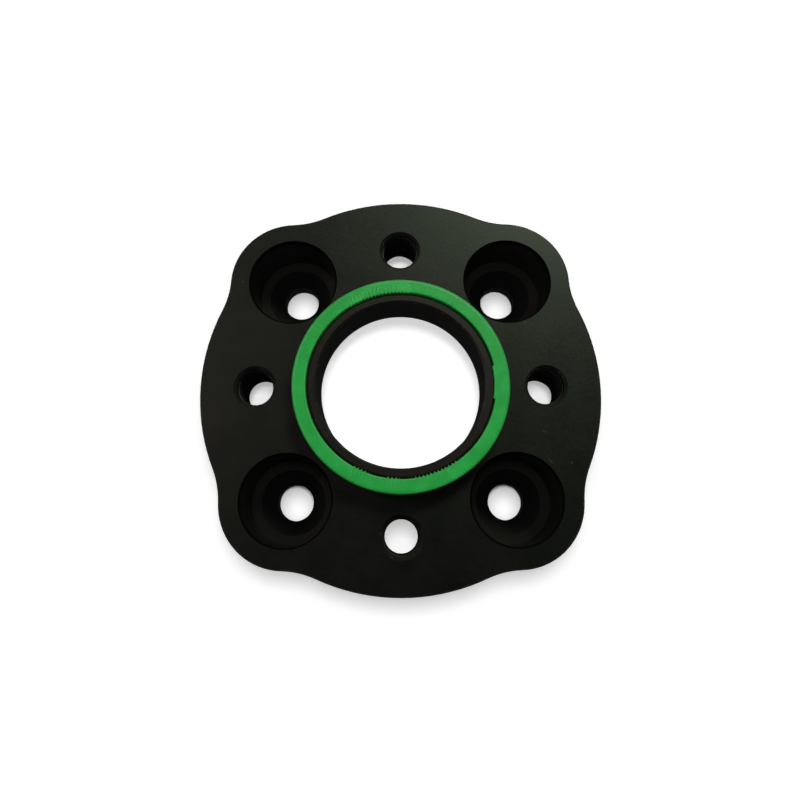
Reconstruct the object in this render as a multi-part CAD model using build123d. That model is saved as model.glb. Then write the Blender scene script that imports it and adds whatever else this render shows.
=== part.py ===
"""Four-lug wheel spacer that also changes the bolt circle, with its hub-centring ring.

The frame has its origin at the centre of the hub face, on which the spacer stands, with +Z
along the wheel axis towards the wheel. The lug holes lie on the diagonals and the threaded
holes on the X and Y axes. Lengths are in millimetres.
"""

import math
import os

from build123d import *

os.makedirs("parts", exist_ok=True)

# Plate
plate_t = 30.0
lobe_wall = 7.25
lobe_reach = 7.5
blend_r = 30.0
edge_break = 0.6

# Lug holes, through which the hub's studs pass
lug_count = 4
lug_pcd = 108.0
lug_first_deg = 45.0
lug_bore_d = 30.0
lug_web = 11.0
lug_mouth_chamfer = 0.7
seat_d = 23.0
seat_included_deg = 90.0
throat_d = 13.0

# Threaded holes, which take the wheel's bolts
thread_count = 4
thread_pcd = 100.0
thread_first_deg = 0.0
thread_major_d = 12.7
thread_length = 20.0
thread_mouth_d = 14.7
thread_relief_d = 23.0

# Centre: a recess over the hub's nose, a bore, and a spigot for the wheel
recess_d = 72.0
recess_web = 11.0
recess_lead = 0.8
spigot_d = 63.4
spigot_h = 6.0
spigot_chamfer = 0.8
spigot_wall = 3.4
bore_chamfer = 0.7

# Centring ring on the spigot, its foot in a shallow seat turned into the wheel face
ring_wall = 4.8
ring_stand = 7.0
ring_fit = 0.05
ring_edge_r = 1.2
ring_inner_chamfer = 0.4
ring_foot_chamfer = 0.6
ring_seat_depth = 0.3
ring_seat_gap = 0.25
tab_reach = 0.6
tab_length = 11.5
tab_t = 0.8
tab_overlap = 0.5

# How far a cutter runs past the face that it leaves through
past = 1.0

upward = (Align.CENTER, Align.CENTER, Align.MIN)

# Sizes that follow from those above
lobe_r = lug_bore_d / 2 + lobe_wall
disc_d = lug_pcd + 2 * (lobe_r - lobe_reach)
bore_d = spigot_d - 2 * spigot_wall
ring_bore_d = spigot_d + 2 * ring_fit
ring_d = ring_bore_d + 2 * ring_wall
wheel_face_z = plate_t
spigot_top_z = wheel_face_z + spigot_h
ring_foot_z = wheel_face_z - ring_seat_depth
ring_top_z = wheel_face_z + ring_stand


def turned(*edges):
    """Solid turned about the Z axis from edges that close in the XZ plane."""
    return revolve(make_face(Plane.XZ * Wire(edges)), Axis.Z)


def cutter(points):
    """Turned cutter from (radius, height) points, lowest first, closed along the axis."""
    low, high = points[0][1], points[-1][1]
    return turned(*Polyline((0, low), *points, (0, high), close=True).edges())


def around(tool, count, pcd, first_deg):
    """Copies of a tool at even steps round a bolt circle."""
    return [place * tool for place in PolarLocations(pcd / 2, count, first_deg)]


def plate_outline():
    """Disc with a lobe round each lug hole, blended by hollow arcs."""
    lobes = PolarLocations(lug_pcd / 2, lug_count, lug_first_deg)
    outline = Circle(disc_d / 2) + lobes * Circle(lobe_r)
    notches = [
        corner
        for corner in outline.vertices()
        for lobe in lobes
        if abs((Vector(corner) - lobe.position).length - lobe_r) < 1e-4
        and abs(Vector(corner).length - disc_d / 2) < 1e-4
    ]
    return fillet(notches, blend_r)


def lug_cutter():
    """Lug hole: counterbore for the nut, conical seat, throat for the stud."""
    bore_r, seat_r, throat_r = lug_bore_d / 2, seat_d / 2, throat_d / 2
    seat_depth = (seat_r - throat_r) / math.tan(math.radians(seat_included_deg / 2))
    return cutter([
        (throat_r + past + edge_break, -past),
        (throat_r, edge_break),
        (throat_r, lug_web - seat_depth),
        (seat_r, lug_web),
        (bore_r, lug_web),
        (bore_r, wheel_face_z - lug_mouth_chamfer),
        (bore_r + past + lug_mouth_chamfer, wheel_face_z + past),
    ])


def thread_cutter():
    """Threaded hole: relief behind, thread at its major diameter, chamfered mouth."""
    relief_r, major_r, mouth_r = thread_relief_d / 2, thread_major_d / 2, thread_mouth_d / 2
    relief_top = plate_t - thread_length
    return cutter([
        (relief_r, -past),
        (relief_r, relief_top),
        (major_r, relief_top),
        (major_r, wheel_face_z - (mouth_r - major_r)),
        (mouth_r + past, wheel_face_z + past),
    ])


def centre_cutter():
    """Hub recess with a lead-in, then the bore up through the spigot."""
    recess_r, bore_r = recess_d / 2, bore_d / 2
    recess_top = plate_t - recess_web
    return cutter([
        (recess_r + recess_lead + past, -past),
        (recess_r, recess_lead),
        (recess_r, recess_top),
        (bore_r, recess_top),
        (bore_r, spigot_top_z - bore_chamfer),
        (bore_r + bore_chamfer + past, spigot_top_z + past),
    ])


def spacer_plate():
    """Machined plate and spigot in one piece."""
    plate = extrude(plate_outline(), plate_t)
    rims = plate.faces().filter_by(Axis.Z).edges()
    plate = chamfer(rims, edge_break)
    plate -= Pos(0, 0, ring_foot_z) * Cylinder(
        ring_d / 2 + ring_seat_gap, ring_seat_depth + past, align=upward
    )
    spigot = Pos(0, 0, ring_foot_z) * Cylinder(
        spigot_d / 2, spigot_top_z - ring_foot_z, align=upward
    )
    spigot = chamfer(spigot.edges().sort_by(Axis.Z)[-1], spigot_chamfer)
    holes = around(lug_cutter(), lug_count, lug_pcd, lug_first_deg)
    holes += around(thread_cutter(), thread_count, thread_pcd, thread_first_deg)
    return plate + spigot - [centre_cutter(), *holes]


def ring_tab():
    """Low tab inside the ring's top edge, above the spigot's chamfer."""
    inner_r = ring_bore_d / 2 - tab_reach
    outer_r = ring_bore_d / 2 + tab_overlap
    top = ring_top_z - ring_inner_chamfer
    section = Polyline(
        (inner_r, top - tab_t),
        (outer_r, top - tab_t),
        (outer_r, top),
        (inner_r, top),
        close=True,
    )
    sweep_deg = math.degrees(tab_length / inner_r)
    tab = revolve(make_face(Plane.XZ * section), Axis.Z, sweep_deg)
    return Rot(0, 0, -sweep_deg / 2) * tab


def centring_ring():
    """Moulded ring round the spigot, with a rounded lead-in edge for the wheel."""
    inner_r, outer_r = ring_bore_d / 2, ring_d / 2
    side = Polyline(
        (inner_r + ring_foot_chamfer, ring_foot_z),
        (outer_r - ring_foot_chamfer, ring_foot_z),
        (outer_r, ring_foot_z + ring_foot_chamfer),
        (outer_r, ring_top_z - ring_edge_r),
    )
    edge = RadiusArc(
        (outer_r, ring_top_z - ring_edge_r), (outer_r - ring_edge_r, ring_top_z), -ring_edge_r
    )
    inside = Polyline(
        (outer_r - ring_edge_r, ring_top_z),
        (inner_r + ring_inner_chamfer, ring_top_z),
        (inner_r, ring_top_z - ring_inner_chamfer),
        (inner_r, ring_foot_z + ring_foot_chamfer),
        (inner_r + ring_foot_chamfer, ring_foot_z),
    )
    return turned(*side.edges(), edge, *inside.edges()) + ring_tab()


parts = {
    "spacer_plate": spacer_plate(),
    "centring_ring": centring_ring(),
}

for name, shape in parts.items():
    shape.label = name
    export_step(shape, f"parts/{name}.step")
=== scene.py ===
"""Looks of a four-lug wheel spacer with its green centring ring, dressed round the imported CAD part.

The frame is the CAD's own: metres, the hub face on Z = 0, +Z towards the wheel, the lug holes on
the diagonals and the threaded holes on the X and Y axes. Sizes below are given in millimetres
and are turned to metres where a mesh is made.
"""

import logging
import math
from dataclasses import dataclass, field
from enum import Enum
from typing import Any, Iterable

import bmesh
import bpy
import numpy as np
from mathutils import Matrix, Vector


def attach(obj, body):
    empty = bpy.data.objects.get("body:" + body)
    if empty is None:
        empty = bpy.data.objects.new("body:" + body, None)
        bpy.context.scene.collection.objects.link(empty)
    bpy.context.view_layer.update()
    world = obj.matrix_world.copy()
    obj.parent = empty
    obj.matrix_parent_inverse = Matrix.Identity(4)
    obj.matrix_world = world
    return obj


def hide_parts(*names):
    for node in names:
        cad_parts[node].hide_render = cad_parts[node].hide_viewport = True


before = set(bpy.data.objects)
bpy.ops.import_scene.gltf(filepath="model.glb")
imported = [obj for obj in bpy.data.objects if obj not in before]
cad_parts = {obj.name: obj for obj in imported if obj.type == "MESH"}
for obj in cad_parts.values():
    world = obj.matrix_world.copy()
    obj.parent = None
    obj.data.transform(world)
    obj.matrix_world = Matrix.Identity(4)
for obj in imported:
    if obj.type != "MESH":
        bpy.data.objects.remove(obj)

MM = 0.001
PLATE_TOP_MM = 30.0
LUG_XY_MM = 38.18
Colour = tuple[float, float, float, float]
Socket = bpy.types.NodeSocket
log = logging.getLogger("wheel_spacer")


class Slot(Enum):
    """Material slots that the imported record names."""

    ALUMINIUM = "black_anodised_aluminium"
    PLASTIC = "green_ring_plastic"


def linear(code: str) -> Colour:
    """Turn an sRGB hex colour to the linear colour that a shader takes.

    Args:
        code: Colour as "#rrggbb".

    Returns:
        Red, green, blue and an alpha of 1, each from 0 to 1.
    """
    parts = np.array([int(code[i:i + 2], 16) for i in (1, 3, 5)]) / 255
    low, high = parts / 12.92, ((parts + 0.055) / 1.055) ** 2.4
    return (*np.where(parts <= 0.04045, low, high).tolist(), 1.0)


def ramp(values: np.ndarray, low: float, high: float) -> np.ndarray:
    """Smooth step: 0 below low, 1 above high, with the cubic 3t^2 - 2t^3 between."""
    t = np.clip((values - low) / (high - low), 0, 1)
    return t * t * (3 - 2 * t)


@dataclass
class Graph:
    """Node tree that is being filled."""

    tree: bpy.types.NodeTree

    def add(
        self, kind: str, inputs: dict[Any, Any] | None = None, out: Any = 0, **settings: Any
    ) -> Socket | None:
        """Add one node, with its settings and what its inputs take.

        Args:
            kind: Node type after "ShaderNode", such as "Math".
            inputs: Input name or number, and the output that feeds it or its plain value.
            out: Name or number of the output wanted.
            settings: Properties of the node itself.

        Returns:
            The output wanted, or None from a node that has no output.
        """
        made = self.tree.nodes.new("ShaderNode" + kind)
        for name, value in settings.items():
            setattr(made, name, value)
        for name, value in (inputs or {}).items():
            if isinstance(value, Socket):
                self.tree.links.new(value, made.inputs[name])
            else:
                made.inputs[name].default_value = value
        return made.outputs[out] if made.outputs else None

    def each(
        self,
        kind: str,
        heads: tuple[str, ...],
        table: dict[str, tuple],
        out: Any = 0,
        **settings: Any,
    ) -> dict[str, Socket]:
        """Add one node for each row of a table.

        Args:
            kind: Node type of all of them.
            heads: Inputs that the table's columns go to.
            table: Row name, and what that row's inputs take.
            out: Name or number of the output wanted.
            settings: Properties that all of them share.

        Returns:
            The output wanted of each node, by row name.
        """
        return {
            name: self.add(kind, dict(zip(heads, row)), out, **settings)
            for name, row in table.items()
        }

    def chain(
        self,
        kind: str,
        onward: int,
        first: Any,
        rows: Iterable[dict[Any, Any]],
        out: Any = 0,
        **settings: Any,
    ) -> Socket:
        """Add nodes in a row, each fed by the one before it.

        Args:
            kind: Node type of all of them.
            onward: Input that takes the node before.
            first: Output or plain value that the first node's onward input takes.
            rows: What the other inputs take, a dictionary for each node.
            out: Name or number of the output that goes onward.
            settings: Properties that all of them share.

        Returns:
            The output wanted of the last node.
        """
        last = first
        for row in rows:
            last = self.add(kind, {onward: last, **row}, out, **settings)
        return last


def blank_material(name: str) -> tuple[bpy.types.Material, Graph]:
    """Make a material with an empty node tree.

    Args:
        name: Name of the material.

    Returns:
        The material, and the graph that fills its tree.
    """
    made = bpy.data.materials.new(name)
    made.use_nodes = True
    made.node_tree.nodes.clear()
    return made, Graph(made.node_tree)


def skin(
    name: str, points: np.ndarray, round_u: bool = False, round_v: bool = False
) -> bpy.types.Object:
    """Lay quads over a grid of points and make an object of it, smooth shaded.

    Args:
        name: Name of the object and its mesh.
        points: Grid of points in millimetres, shape (u, v, 3). Faces look along du x dv.
        round_u: Join the last row of the grid to the first.
        round_v: Join the last column of the grid to the first.

    Returns:
        The object, untransformed at the origin.
    """
    rows, columns = points.shape[:2]
    index = np.arange(rows * columns).reshape(rows, columns)
    if round_u:
        index = np.vstack([index, index[:1]])
    if round_v:
        index = np.hstack([index, index[:, :1]])
    quads = np.stack([index[:-1, :-1], index[1:, :-1], index[1:, 1:], index[:-1, 1:]], -1)
    quads = quads.reshape(-1, 4)
    mesh = bpy.data.meshes.new(name)
    mesh.vertices.add(rows * columns)
    mesh.vertices.foreach_set("co", (points * MM).astype(np.float32).ravel())
    mesh.loops.add(quads.size)
    mesh.loops.foreach_set("vertex_index", quads.astype(np.int32).ravel())
    mesh.polygons.add(len(quads))
    mesh.polygons.foreach_set("loop_start", np.arange(0, quads.size, 4, dtype=np.int32))
    mesh.update(calc_edges=True)
    mesh.validate()
    mesh.polygons.foreach_set("use_smooth", np.ones(len(mesh.polygons), bool))
    made = bpy.data.objects.new(name, mesh)
    bpy.context.scene.collection.objects.link(made)
    return made


@dataclass(frozen=True)
class Nick:
    """Small scuff in the dye on the wheel face: its place, turn and size in millimetres."""

    x: float
    y: float
    turn_deg: float
    length: float
    width: float
    depth: float = 1.2


@dataclass(frozen=True)
class AnodisedAluminium:
    """Dyed aluminium oxide over milled and blasted aluminium.

    The film drinks the light, so the metal is near black, and its blasted grain spreads what it
    mirrors into one wide soft sheen that is faintly green. The lug holes' rims take no sheen: their
    dark metal colour is painted shade. The holes' floors, walls and chamfers are painted light.
    """

    name: str = "black_anodised_aluminium"
    dye: str = "#040404"
    dye_thin: str = "#070706"
    spigot_dye: str = "#120d0b"
    # Painted light: the sunk floors, the lug holes' walls and the sunk chamfers and cones are lighter
    # than the face, standing in for the light that falls into them.
    sunk_floor_painted_light: str = "#12110f"
    sunk_break_painted_light: str = "#080808"
    lug_wall_painted_light: str = "#141413"
    # Painted shade: a dark metal colour on the lug holes' rims takes their sheen off.
    rim_painted_shade: str = "#161615"
    bare_metal: str = "#9a9b95"
    dust: str = "#6f7068"
    roughness: float = 0.285
    # The dyed film mirrors 3 % where the default IOR gives 4 %, which is this level.
    film_level: float = 0.3765
    sheen_tint: str = "#fafcf6"
    # Blasting leaves pits of about 0.05 mm. They are drawn at 0.32 and 0.9 mm, so that they show.
    grain_mm: float = 0.32
    speckle_mm: float = 0.9
    mottle_mm: float = 9.0
    wear_mm: float = 1.7
    # A finishing cut feeds about 0.1 mm a turn and is drawn at 0.4 mm, so that it shows.
    lathe_feed_mm: float = 0.4
    # A side mill marks the wall about every 0.2 mm. Its marks are drawn at 1.2 mm, so that they
    # show, and heights count little in them, which makes them long and upright.
    mill_feed_mm: float = 1.2
    mill_squash: float = 0.03
    dust_cells_a_mm: float = 0.4
    bump_strength: float = 0.4
    bump_mm: float = 0.02
    grain_height: float = 0.9
    speckle_height: float = 2.6
    milled_height: float = 5.0
    mottle_rough: float = 0.08
    speckle_rough: float = 0.2
    dull_rough: float = 0.43
    edge_rough: float = 0.12
    milled_rough: float = 0.5
    contour_rough: float = -0.3
    bare_rough: float = -0.15
    worn_share: float = 0.05
    nick_share: float = 0.16
    dust_share: float = 0.07
    nicks: tuple[Nick, ...] = (
        Nick(-56.0, 38.3, 60, 1.6, 0.6),
        Nick(43.9, 22.8, -40, 2.1, 0.5),
        Nick(56.8, -26.3, 15, 1.1, 0.9),
        Nick(49.9, -25.6, -50, 3.4, 0.5),
        Nick(48.2, -15.6, -48, 2.2, 0.35),
    )

    def material(self) -> bpy.types.Material:
        """Build the material: dye, grain, tool marks, worn edges, nicks, dust, painted light and
        shade.

        The relief, the colour and the roughness are each a chain that starts from the plain
        finish and takes in one effect after another, by its mask.

        Returns:
            The material.
        """
        made, graph = blank_material(self.name)
        masks = self.masks(graph)
        relief = graph.chain("Math", 2, 0.0, [
            {0: masks["flat"], 1: masks["lathe"]},
            {0: masks["wall"], 1: masks["bored"]},
            {0: masks["grain"], 1: self.grain_height},
            {0: masks["speckle"], 1: self.speckle_height},
            {0: masks["milled_contour"], 1: self.milled_height},
        ], operation="MULTIPLY_ADD")
        bump = graph.add("Bump", {
            "Height": relief, "Strength": self.bump_strength, "Distance": self.bump_mm * MM,
        }, "Normal")
        # Colours by place; the floors, walls and chamfers in the holes are painted light.
        colour = graph.chain("Mix", 6, linear(self.dye), [
            {0: masks[name], 7: linear(code)} for name, code in {
                "thin": self.dye_thin,
                "on_spigot": self.spigot_dye,
                "on_floor": self.sunk_floor_painted_light,
                "in_hole": self.lug_wall_painted_light,
                "on_seat": self.sunk_break_painted_light,
                "dusty": self.dust,
                "bare": self.bare_metal,
                "lug_rim_painted_shade": self.rim_painted_shade,
            }.items()
        ], 2, data_type="RGBA")
        rough = graph.chain("Math", 2, self.roughness, [
            {0: masks[name], 1: weight} for name, weight in {
                "mottle": self.mottle_rough,
                "speckle": self.speckle_rough,
                "dull": self.dull_rough,
                "on_break": self.edge_rough,
                "milled_contour": self.milled_rough,
                "contour": self.contour_rough,
                "bare": self.bare_rough,
            }.items()
        ], operation="MULTIPLY_ADD")
        # Metal on worn spots and nicks, and on the lug holes' rims, whose dark metal colour is
        # painted shade.
        metal = graph.add("Math", {0: masks["bare"], 1: masks["lug_rim_painted_shade"]}, operation="MAXIMUM")
        shader = graph.add("BsdfPrincipled", {
            "Base Color": colour, "Metallic": metal, "Roughness": rough, "Normal": bump,
            "Specular IOR Level": self.film_level, "Specular Tint": linear(self.sheen_tint),
        })
        graph.add("OutputMaterial", {"Surface": shader})
        return made

    def masks(self, graph: Graph) -> dict[str, Socket]:
        """Work out where on the plate each effect lies.

        A mask is the product of smooth steps of the tilt of the face, the distance from the wheel
        axis, the distance from the nearest lug hole, the height or a noise.

        Args:
            graph: Graph of the material.

        Returns:
            Signals from 0 to 1 by name.
        """
        where = graph.add("TexCoord").node.outputs
        mm = graph.add("VectorMath", {0: where["Object"], 1: (1 / MM,) * 3}, operation="MULTIPLY")
        height = graph.add("SeparateXYZ", {0: mm}, "Z")
        up = graph.add("SeparateXYZ", {0: where["Normal"]}, "Z")
        tilt = graph.add("Math", {0: up}, operation="ABSOLUTE")
        across = graph.add("VectorMath", {0: mm, 1: (1, 1, 0)}, operation="MULTIPLY")
        radius = graph.add("VectorMath", {0: across}, "Value", operation="LENGTH")
        quarter = graph.add("VectorMath", {0: across}, operation="ABSOLUTE")
        lug = (LUG_XY_MM, LUG_XY_MM, 0)
        off_lug = graph.add("VectorMath", {0: quarter, 1: lug}, "Value", operation="DISTANCE")
        squashed = graph.add(
            "VectorMath", {0: mm, 1: (1, 1, self.mill_squash)}, operation="MULTIPLY"
        )

        found = graph.each("TexNoise", ("Vector", "Scale", "Detail"), {
            "grain": (mm, 1 / self.grain_mm, 3),
            "speckle": (mm, 1 / self.speckle_mm, 3),
            "mottle": (mm, 1 / self.mottle_mm, 4),
            "wear": (mm, 1 / self.wear_mm, 4),
            "milled": (squashed, 1 / self.mill_feed_mm, 3),
        }, "Fac")
        found |= graph.each("TexNoise", ("W", "Scale", "Detail"), {
            "lathe": (radius, 1 / self.lathe_feed_mm, 2),
            "bored": (height, 1 / self.lathe_feed_mm, 2),
        }, "Fac", noise_dimensions="1D")
        cells = graph.add("TexVoronoi", {"Vector": mm, "Scale": self.dust_cells_a_mm}).node.outputs
        draw = graph.add("SeparateColor", {0: cells["Color"]})
        scuffs = self.scuffs(graph, mm)
        broken = graph.add("Math", {0: scuffs, 1: found["grain"]}, operation="MULTIPLY")

        found |= graph.each("MapRange", ("Value", "From Min", "From Max"), {
            "flat": (tilt, 0.93, 0.98),
            "wall": (tilt, 0.3, 0.1),
            "off_wall": (tilt, 0.35, 0.5),
            "off_flat": (tilt, 0.95, 0.85),
            "level": (up, 0.9, 0.95),
            "past_threads": (radius, 62.5, 64),
            "in_ring": (radius, 31.9, 31.6),
            "clear_of_lugs": (off_lug, 17, 20),
            "at_lug": (off_lug, 17, 15.5),
            "at_lug_rim": (off_lug, 17, 16.2),
            "over_hub_face": (height, 2, 3),
            "under_wheel_face": (height, 28.5, 28),
            "over_recess": (height, 20, 22),
            "under_spigot_top": (height, 34.5, 33.5),
            "near_wheel_face": (height, 28.5, 29),
            "on_wheel_face": (height, 28, 29),
            "thin": (found["mottle"], 0.35, 0.7),
            "patches": (found["wear"], 0.58, 0.7),
            "speck": (cells["Distance"], 0.075, 0.04),
            "drawn": (draw, 0.8, 0.82),
            "nicked": (broken, 0.1, 0.4),
        }, "Result", interpolation_type="SMOOTHSTEP")
        found["sunk"] = graph.add("Math", {
            0: found["over_hub_face"], 1: found["under_wheel_face"],
        }, operation="MULTIPLY")
        found["in_the_open"] = graph.add("Math", {0: 1.0, 1: found["sunk"]}, operation="SUBTRACT")

        for name, share, factors in (
            ("on_break", 1.0, ("off_wall", "off_flat")),
            ("contour", 1.0, ("wall", "past_threads", "clear_of_lugs")),
            ("milled_contour", 1.0, ("contour", "milled")),
            ("on_spigot", 1.0, ("in_ring", "over_recess")),
            # The next three masks carry the painted light: sunk floors, lug holes' walls, sunk
            # chamfers.
            ("on_floor", 1.0, ("sunk", "flat")),
            ("in_hole", 1.0, ("sunk", "wall", "at_lug")),
            ("on_seat", 1.0, ("sunk", "on_break")),
            ("dull", 1.0, ("on_break", "under_spigot_top")),
            # The lug holes' rims, where the painted shade lies.
            ("lug_rim_painted_shade", 1.0, ("on_break", "in_the_open", "at_lug_rim", "near_wheel_face")),
            ("dusty", self.dust_share, ("speck", "drawn", "level", "on_wheel_face")),
            ("worn", self.worn_share, ("on_break", "in_the_open", "patches")),
            ("nick", self.nick_share, ("nicked",)),
        ):
            found[name] = graph.chain(
                "Math", 0, share, [{1: found[factor]} for factor in factors], operation="MULTIPLY"
            )
        found["bare"] = graph.add("Math", {0: found["worn"], 1: found["nick"]}, operation="MAXIMUM")
        return found

    def scuffs(self, graph: Graph, mm: Socket) -> Socket:
        """Find how deep a point lies in the nicks.

        Args:
            graph: Graph of the material.
            mm: Place in millimetres.

        Returns:
            Highest of the nicks' ellipsoids, each 1 at its middle and 0 at its edge.
        """
        globes = []
        for nick in self.nicks:
            local = graph.add("Mapping", {
                "Vector": mm,
                "Location": (nick.x, nick.y, PLATE_TOP_MM),
                "Rotation": (0, 0, math.radians(nick.turn_deg)),
                "Scale": (nick.length / 2, nick.width / 2, nick.depth / 2),
            }, vector_type="TEXTURE")
            globes.append(
                graph.add("TexGradient", {"Vector": local}, "Fac", gradient_type="SPHERICAL")
            )
        return graph.chain("Math", 0, 0.0, [{1: globe} for globe in globes], operation="MAXIMUM")


@dataclass(frozen=True)
class MouldedPlastic:
    """Injection-moulded ABS, coloured through.

    A strong flat green with a soft gloss: the mould's fine texture blurs the highlights, the melt
    leaves faint streaks round the ring, and its edges are rubbed duller.
    """

    name: str = "moulded_green_abs"
    colour: str = "#0e9637"
    pale: str = "#1ba341"
    roughness: float = 0.34
    ior: float = 1.53
    # A mould's spark texture is about 0.03 mm and is drawn at 0.35 mm, so that it shows.
    texture_mm: float = 0.35
    streak_mm: float = 5.0
    texture_rough: float = 0.14
    rubbed_rough: float = 0.2
    bump_strength: float = 0.35
    bump_mm: float = 0.03

    def material(self) -> bpy.types.Material:
        """Build the material: colour streaks, mould texture and a roughness that varies.

        Returns:
            The material.
        """
        made, graph = blank_material(self.name)
        where = graph.add("TexCoord").node.outputs
        mm = graph.add("VectorMath", {0: where["Object"], 1: (1 / MM,) * 3}, operation="MULTIPLY")
        up = graph.add("SeparateXYZ", {0: where["Normal"]}, "Z")
        found = graph.each("TexNoise", ("Vector", "Scale", "Detail"), {
            "streaks": (mm, 1 / self.streak_mm, 5),
            "texture": (mm, 1 / self.texture_mm, 2),
        }, "Fac")
        found |= graph.each("MapRange", ("Value", "From Min", "From Max"), {
            "streaky": (found["streaks"], 0.35, 0.75),
            "off_wall": (up, 0.1, 0.3),
            "off_flat": (up, 0.999, 0.97),
        }, "Result", interpolation_type="SMOOTHSTEP")
        colour = graph.add("Mix", {
            0: found["streaky"], 6: linear(self.colour), 7: linear(self.pale),
        }, 2, data_type="RGBA")
        rubbed = graph.add(
            "Math", {0: found["off_wall"], 1: found["off_flat"]}, operation="MULTIPLY"
        )
        rough = graph.chain("Math", 2, self.roughness, [
            {0: found["texture"], 1: self.texture_rough}, {0: rubbed, 1: self.rubbed_rough},
        ], operation="MULTIPLY_ADD")
        bump = graph.add("Bump", {
            "Height": found["texture"],
            "Strength": self.bump_strength,
            "Distance": self.bump_mm * MM,
        }, "Normal")
        shader = graph.add("BsdfPrincipled", {
            "Base Color": colour, "Roughness": rough, "Normal": bump, "IOR": self.ior,
        })
        graph.add("OutputMaterial", {"Surface": shader})
        return made


@dataclass
class SpacerPlate:
    """The machined plate: its CAD solid stays, in a worked finish."""

    node: str = "spacer_plate"
    finish: AnodisedAluminium = field(default_factory=AnodisedAluminium)

    def build(self) -> bpy.types.Material:
        """Dress the CAD plate.

        Returns:
            The plate's material, which the threads share.
        """
        dressed = self.finish.material()
        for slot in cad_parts[self.node].material_slots:
            slot.material = dressed
        log.info("%s: CAD node, dressed in %s", self.node, dressed.name)
        return dressed


@dataclass
class WheelBoltThreads:
    """Screw threads cut in the four holes that take the wheel's bolts."""

    count: int = 4
    circle_d: float = 100.0
    major_d: float = 12.7
    minor_d: float = 11.6
    pitch: float = 1.27
    low_z: float = 10.0
    high_z: float = 28.6
    steps_a_turn: int = 56
    behind_wall: float = 0.03
    root_half: float = 0.46
    crest_half: float = 0.1
    swell_turns: float = 0.2
    fade_turns: float = 0.5

    def ridge(self, x: float, y: float) -> np.ndarray:
        """Helical ridge of one thread.

        The section is a trapezium from the hole's wall to the minor diameter. It climbs one
        pitch a turn. Its depth swells from nothing within a fifth of a turn at the relief and dies
        away over half a turn at the mouth.

        Args:
            x: Hole's centre.
            y: Hole's centre.

        Returns:
            Points in millimetres, shape (steps, 4, 3).
        """
        turns = (self.high_z - self.low_z - self.pitch) / self.pitch
        angle = np.linspace(0, 2 * np.pi * turns, int(turns * self.steps_a_turn) + 1)[:, None]
        share = angle / (2 * np.pi)
        swell = ramp(share, 0, self.swell_turns) * ramp(share, turns, turns - self.fade_turns)
        wall = self.major_d / 2 + self.behind_wall
        depth = (wall - self.minor_d / 2) * swell
        root, crest = self.root_half, self.crest_half
        across = np.array([[-root, -crest, crest, root]]) * self.pitch
        inward = np.array([[0.0, 1.0, 1.0, 0.0]])
        radius = wall - depth * inward
        climb = self.low_z + self.pitch / 2 + share * self.pitch + across
        return np.stack(
            [x + radius * np.cos(angle), y + radius * np.sin(angle), climb], axis=-1
        )

    def build(self, dressed: bpy.types.Material) -> None:
        """Make the threads and set them in their holes.

        Args:
            dressed: Material of the plate that the threads are cut in.
        """
        for number in range(self.count):
            turn = 2 * math.pi / self.count * number
            centre = self.circle_d / 2 * np.array([math.cos(turn), math.sin(turn)])
            name = f"wheel_bolt_thread_{number + 1}"
            thread = skin(name, self.ridge(*centre)[::-1], round_v=True)
            ends = bmesh.new()
            ends.from_mesh(thread.data)
            bmesh.ops.holes_fill(ends, edges=ends.edges, sides=4)
            ends.to_mesh(thread.data)
            ends.free()
            thread.data.materials.append(dressed)
            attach(thread, "root")
            log.info("%s: %d faces", thread.name, len(thread.data.polygons))


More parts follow.
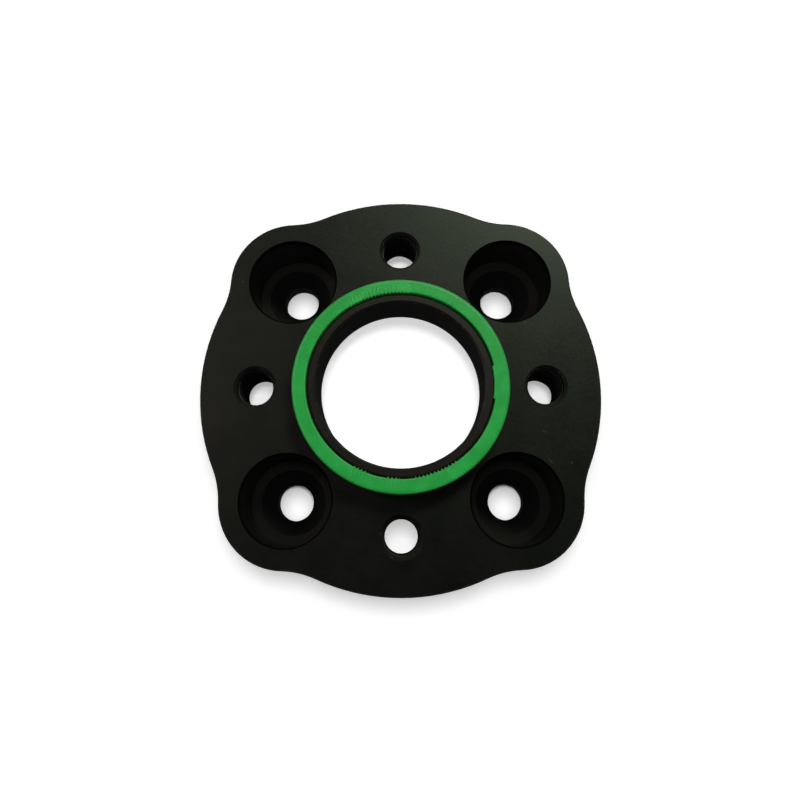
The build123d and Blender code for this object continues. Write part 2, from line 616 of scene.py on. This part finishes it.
@dataclass
class CentringRing:
    """Moulded ring on the spigot, with its tab and the plain ribs beside its bore."""

    bore_r: float = 31.75
    outer_r: float = 36.55
    foot_z: float = 29.7
    top_z: float = 36.85
    edge_r: float = 1.2
    edge_points: int = 9
    top_points: int = 12
    inner_break: float = 0.4
    inner_round: float = 0.12
    foot_break: float = 0.6
    bore_row_z: float = 33.0
    outer_rows_z: tuple[float, float] = (31.5, 33.5)
    rib_h: float = 0.12
    rib_reach: float = 0.5
    rib_end_r: float = 34.2
    rib_end_fade: float = 0.35
    rib_pitch_deg: float = 2.3
    rib_width_deg: float = 1.2
    rib_flank_deg: float = 0.4
    rib_arcs_deg: tuple[tuple[float, float], ...] = (
        (83.0, 124.0), (240.5, 250.5), (261.0, 269.0), (278.0, 304.5),
    )
    rib_band: float = 0.2
    tab_reach: float = 0.6
    tab_half_deg: float = 10.6
    tab_fade_deg: float = 0.5
    tab_ledge_z: float = 35.8
    tab_rise: float = 0.25
    tab_drop: float = 0.02
    slack: float = 0.01
    steps: int = 1980
    finish: MouldedPlastic = field(default_factory=MouldedPlastic)

    def profile(self) -> np.ndarray:
        """Section of the ring, from its outer edge over the top, down the bore and back outside.

        The outer edge is a quarter circle, the top and both walls are straight, and the bore's
        upper edge and the foot's edges are broken by chamfers. Extra rows keep the quads even
        and let the tab's ledge be sharp.

        Returns:
            Points as (radius, height) in millimetres, shape (section, 2).
        """
        turn = np.linspace(0, np.pi / 2, self.edge_points)
        edge = np.column_stack([
            self.outer_r - self.edge_r * (1 - np.cos(turn)),
            self.top_z - self.edge_r * (1 - np.sin(turn)),
        ])
        top_r = np.linspace(
            self.outer_r - self.edge_r, self.bore_r + self.inner_break, self.top_points
        )[1:]
        top = np.column_stack([top_r, np.full_like(top_r, self.top_z)])
        ledge, (low_row, high_row) = self.tab_ledge_z, self.outer_rows_z
        rest = np.array([
            (self.bore_r + self.inner_round, self.top_z - self.inner_round),
            (self.bore_r, self.top_z - self.inner_break),
            (self.bore_r, ledge + self.tab_rise),
            (self.bore_r, ledge),
            (self.bore_r, ledge - self.tab_drop),
            (self.bore_r, self.bore_row_z),
            (self.bore_r, self.foot_z + self.foot_break),
            (self.bore_r + self.foot_break, self.foot_z),
            (self.outer_r - self.foot_break, self.foot_z),
            (self.outer_r, self.foot_z + self.foot_break),
            (self.outer_r, low_row),
            (self.outer_r, high_row),
        ])
        return np.vstack([edge, top, rest])

    def surface(self) -> np.ndarray:
        """Surface of the ring over (angle round the axis, place along the section).

        Ribs lift the top by a smooth step of the angle from the nearest rib and push the bore's
        upper edge inwards. The tab pushes the bore inwards above its ledge.

        Returns:
            Points in millimetres, shape (steps, section, 3).
        """
        section_r, section_z = self.profile().T
        angle = np.linspace(0, 2 * np.pi, self.steps, endpoint=False)[:, None]
        degrees = np.degrees(angle)
        half_pitch = self.rib_pitch_deg / 2
        offset = np.abs((degrees + half_pitch) % self.rib_pitch_deg - half_pitch)
        half_width = self.rib_width_deg / 2
        rib = ramp(offset, half_width, half_width - self.rib_flank_deg)
        in_arc = np.zeros_like(degrees)
        for first, last in self.rib_arcs_deg:
            in_arc = np.maximum(in_arc, (degrees >= first) & (degrees <= last))
        rib = rib * in_arc
        at_bore = section_r < self.bore_r + self.inner_break + self.slack
        on_top = ramp(section_r, self.rib_end_r, self.rib_end_r - self.rib_end_fade)
        on_top = on_top * (section_z > self.top_z - self.rib_band)
        at_edge = at_bore * ramp(section_z, self.tab_ledge_z, self.top_z - self.inner_break)
        off_tab = np.abs((degrees + 180) % 360 - 180)
        on_tab = ramp(off_tab, self.tab_half_deg, self.tab_half_deg - self.tab_fade_deg)
        over_ledge = at_bore * (section_z > self.tab_ledge_z - self.slack)

        height = section_z + rib * on_top * self.rib_h
        radius = section_r - rib * at_edge * self.rib_reach
        radius = radius - on_tab * over_ledge * self.tab_reach
        return np.stack([radius * np.cos(angle), radius * np.sin(angle), height], axis=-1)

    def build(self) -> None:
        """Make the ring, dress it and let it stand for the CAD ring."""
        ring = skin("centring_ring_moulded", self.surface(), round_u=True, round_v=True)
        ring.data.materials.append(self.finish.material())
        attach(ring, "root")
        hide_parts("centring_ring")
        log.info("%s: %d faces", ring.name, len(ring.data.polygons))


@dataclass(frozen=True)
class Softbox:
    """One area lamp that faces the spacer. Lengths are in metres, light in watts.

    A lamp can be kept from matt surfaces, so that it only draws a sheen, or from glossy ones,
    so that it only gives the even level and the shadow.
    """

    name: str
    spot: tuple[float, float, float]
    width: float
    depth: float
    watts: float
    colour: str = "#ffffff"
    on_matt: bool = True
    on_glossy: bool = True

    def build(self) -> None:
        """Make the lamp and aim it at the middle of the wheel face."""
        lamp = bpy.data.lights.new(self.name, "AREA")
        lamp.shape = "RECTANGLE"
        lamp.size, lamp.size_y = self.width, self.depth
        lamp.energy = self.watts
        lamp.color = linear(self.colour)[:3]
        made = bpy.data.objects.new(self.name, lamp)
        made.location = self.spot
        made.rotation_mode = "QUATERNION"
        aim = Vector((0, 0, PLATE_TOP_MM * MM)) - Vector(self.spot)
        made.rotation_quaternion = aim.to_track_quat("-Z", "Y")
        made.visible_camera = False
        made.visible_diffuse = self.on_matt
        made.visible_glossy = self.on_glossy
        bpy.context.scene.collection.objects.link(made)
        log.info("lamp %s: %.1f W", self.name, self.watts)


@dataclass
class Studio:
    """White paper on a table, soft lamps and the camera of the photograph."""

    paper_radius: float = 3000.0
    paper_sides: int = 96
    # The sheet lies a hair under the hub face, because two faces in one plane would flicker.
    paper_gap: float = 0.05
    paper: str = "#e7e7e7"
    paper_painted_shade: str = "#3c3c3c"
    # Painted light on the paper under the spacer: it glows there though the spacer shades it, more in
    # the bore and under the lower threaded hole, and in a pool under each lug hole that fades to the
    # wall.
    bore_painted_light_glow: float = 0.61
    under_spacer_painted_light_glow: float = 0.4
    south_hole_painted_light_glow: float = 0.5
    lug_painted_light_glow: float = 0.55
    thread_y_mm: float = -50.0
    light_drift_mm: float = 2.5
    near_glow: float = 0.47
    far_glow: float = 1.0
    matt_sky: float = 0.22
    glossy_sky: float = 0.015
    camera_spot: tuple[float, float, float] = (-0.00214, -0.04572, 0.25063)
    camera_turn_deg: tuple[float, float, float] = (13.919, -0.086, -0.246)
    camera_reach: tuple[float, float] = (0.01, 20.0)
    lens_mm: float = 29.562
    sensor_mm: float = 36.0
    shift: tuple[float, float] = (0.005, -0.0488)
    lamps: tuple[Softbox, ...] = (
        Softbox("overhead_softbox", (0.0, 0.0, 0.34), 0.07, 0.07, 0.64, on_glossy=False),
        Softbox("north_card", (0.469, 1.024, 0.991), 0.5, 0.4, 16.2, "#ecffe0", on_matt=False),
        Softbox("west_card", (-0.755, 0.26, 0.602), 0.2, 0.6, 3.4, "#fff0ea", on_matt=False),
    )

    def floor(self) -> None:
        """Lay the round sheet of paper under the spacer."""
        disc = bmesh.new()
        bmesh.ops.create_circle(
            disc, cap_ends=True, segments=self.paper_sides, radius=self.paper_radius * MM
        )
        mesh = bpy.data.meshes.new("studio_paper")
        disc.to_mesh(mesh)
        disc.free()
        made = bpy.data.objects.new("studio_paper", mesh)
        made.location.z = -self.paper_gap * MM
        made.data.materials.append(self.paper_material())
        bpy.context.scene.collection.objects.link(made)

    def paper_material(self) -> bpy.types.Material:
        """Matt white paper: it takes the shadow by its diffuse share and glows for the eye.

        Glossy rays see the paper's glow round the spacer and not under it, where the paper takes a
        dark grey, a painted shade, so that the walls of the bore and the holes stay as dark as in the
        photograph. For the eye the paper under the spacer glows as painted light, more in the bore
        and under the lower threaded hole, and under each lug hole the glow is a painted pool of light
        that fades from a point a little south of the axis, where most of the light lands, to the
        wall.
        From below the paper is clear.

        Returns:
            The material.
        """
        made, graph = blank_material("matt_white_paper")
        where = graph.add("TexCoord").node.outputs["Object"]
        across = graph.add(
            "VectorMath", {0: where, 1: (1 / MM, 1 / MM, 0)}, operation="MULTIPLY"
        )
        radius = graph.add("VectorMath", {0: across}, "Value", operation="LENGTH")
        drift = (0, self.light_drift_mm, 0)
        drifted = graph.add("VectorMath", {0: across, 1: drift}, operation="ADD")
        quarter = graph.add("VectorMath", {0: drifted}, operation="ABSOLUTE")
        lug, south = (LUG_XY_MM, LUG_XY_MM, 0), (0, self.thread_y_mm, 0)
        off_lug = graph.add("VectorMath", {0: quarter, 1: lug}, "Value", operation="DISTANCE")
        off_south = graph.add("VectorMath", {0: across, 1: south}, "Value", operation="DISTANCE")
        zones = graph.each("MapRange", ("Value", "From Min", "From Max"), {
            "outside": (radius, 62, 68),
            "far": (radius, 75, 250),
            "bore": (radius, 40, 36),
            "lug_hole": (off_lug, 14, 12),
            "lug_middle": (off_lug, 10, 0),
            "south_hole": (off_south, 14, 12),
        }, "Result", interpolation_type="SMOOTHSTEP")
        under = graph.add("Math", {0: 1.0, 1: zones["outside"]}, operation="SUBTRACT")
        # The glow: white far out, and painted light under the spacer, in the bore and under the
        # holes.
        glow = graph.chain("Math", 2, self.near_glow, [
            {0: zones["far"], 1: self.far_glow - self.near_glow},
            {0: under, 1: self.under_spacer_painted_light_glow - self.near_glow},
            {0: zones["bore"], 1: self.bore_painted_light_glow - self.under_spacer_painted_light_glow},
            {0: zones["lug_hole"], 1: -self.under_spacer_painted_light_glow},
            {0: zones["lug_middle"], 1: self.lug_painted_light_glow},
            {0: zones["south_hole"], 1: self.south_hole_painted_light_glow - self.under_spacer_painted_light_glow},
        ], operation="MULTIPLY_ADD")

        ray = graph.add("LightPath").node.outputs
        mirrored = graph.add(
            "Math", {0: ray["Is Glossy Ray"], 1: ray["Is Transmission Ray"]}, operation="MAXIMUM"
        )
        mirror_outside = graph.add(
            "Math", {0: mirrored, 1: zones["outside"]}, operation="MULTIPLY"
        )
        seen = graph.add(
            "Math", {0: ray["Is Camera Ray"], 1: mirror_outside}, operation="MAXIMUM"
        )
        # Glossy rays under the spacer see a dark grey paper: painted shade.
        mirrored_painted_shade = graph.add("Math", {0: mirrored, 1: under}, operation="MULTIPLY")
        colour = graph.add("Mix", {
            0: mirrored_painted_shade, 6: linear(self.paper), 7: linear(self.paper_painted_shade),
        }, 2, data_type="RGBA")
        strength = graph.add("Math", {0: seen, 1: glow}, operation="MULTIPLY")
        both = graph.add("AddShader", {
            0: graph.add("BsdfDiffuse", {"Color": colour}),
            1: graph.add("Emission", {"Strength": strength}),
        })
        one_sided = graph.add("MixShader", {
            0: graph.add("NewGeometry", out="Backfacing"),
            1: both,
            2: graph.add("BsdfTransparent"),
        })
        graph.add("OutputMaterial", {"Surface": one_sided})
        return made

    def room(self) -> None:
        """White for the camera, a weak even sky for matt surfaces and dark for glossy ones."""
        world = bpy.data.worlds.new("dim_room")
        world.use_nodes = True
        world.node_tree.nodes.clear()
        graph = Graph(world.node_tree)
        ray = graph.add("LightPath").node.outputs
        sky = graph.add("Math", {
            0: ray["Is Diffuse Ray"], 1: self.matt_sky - self.glossy_sky, 2: self.glossy_sky,
        }, operation="MULTIPLY_ADD")
        strength = graph.add("Math", {0: ray["Is Camera Ray"], 1: sky}, operation="MAXIMUM")
        light = graph.add("Background", {"Color": linear("#ffffff"), "Strength": strength})
        graph.add("OutputWorld", {"Surface": light})
        bpy.context.scene.world = world

    def camera(self) -> None:
        """Set the camera where the photograph was taken from, nearly straight above."""
        data = bpy.data.cameras.new("photo_camera")
        data.lens, data.sensor_width = self.lens_mm, self.sensor_mm
        data.shift_x, data.shift_y = self.shift
        data.clip_start, data.clip_end = self.camera_reach
        made = bpy.data.objects.new("photo_camera", data)
        made.location = self.camera_spot
        made.rotation_euler = [math.radians(turn) for turn in self.camera_turn_deg]
        bpy.context.scene.collection.objects.link(made)
        bpy.context.scene.camera = made

    def build(self) -> None:
        """Make the paper, the dim room, the lamps and the camera."""
        self.floor()
        self.room()
        for lamp in self.lamps:
            lamp.build()
        self.camera()
        bpy.context.scene.view_settings.view_transform = "Standard"


def main() -> None:
    """Build the studio and dress the spacer."""
    logging.basicConfig(level=logging.INFO, format="%(name)s: %(message)s")
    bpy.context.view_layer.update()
    Studio().build()
    dressed = SpacerPlate().build()
    WheelBoltThreads().build(dressed)
    CentringRing().build()


if __name__ == "__main__":
    main()
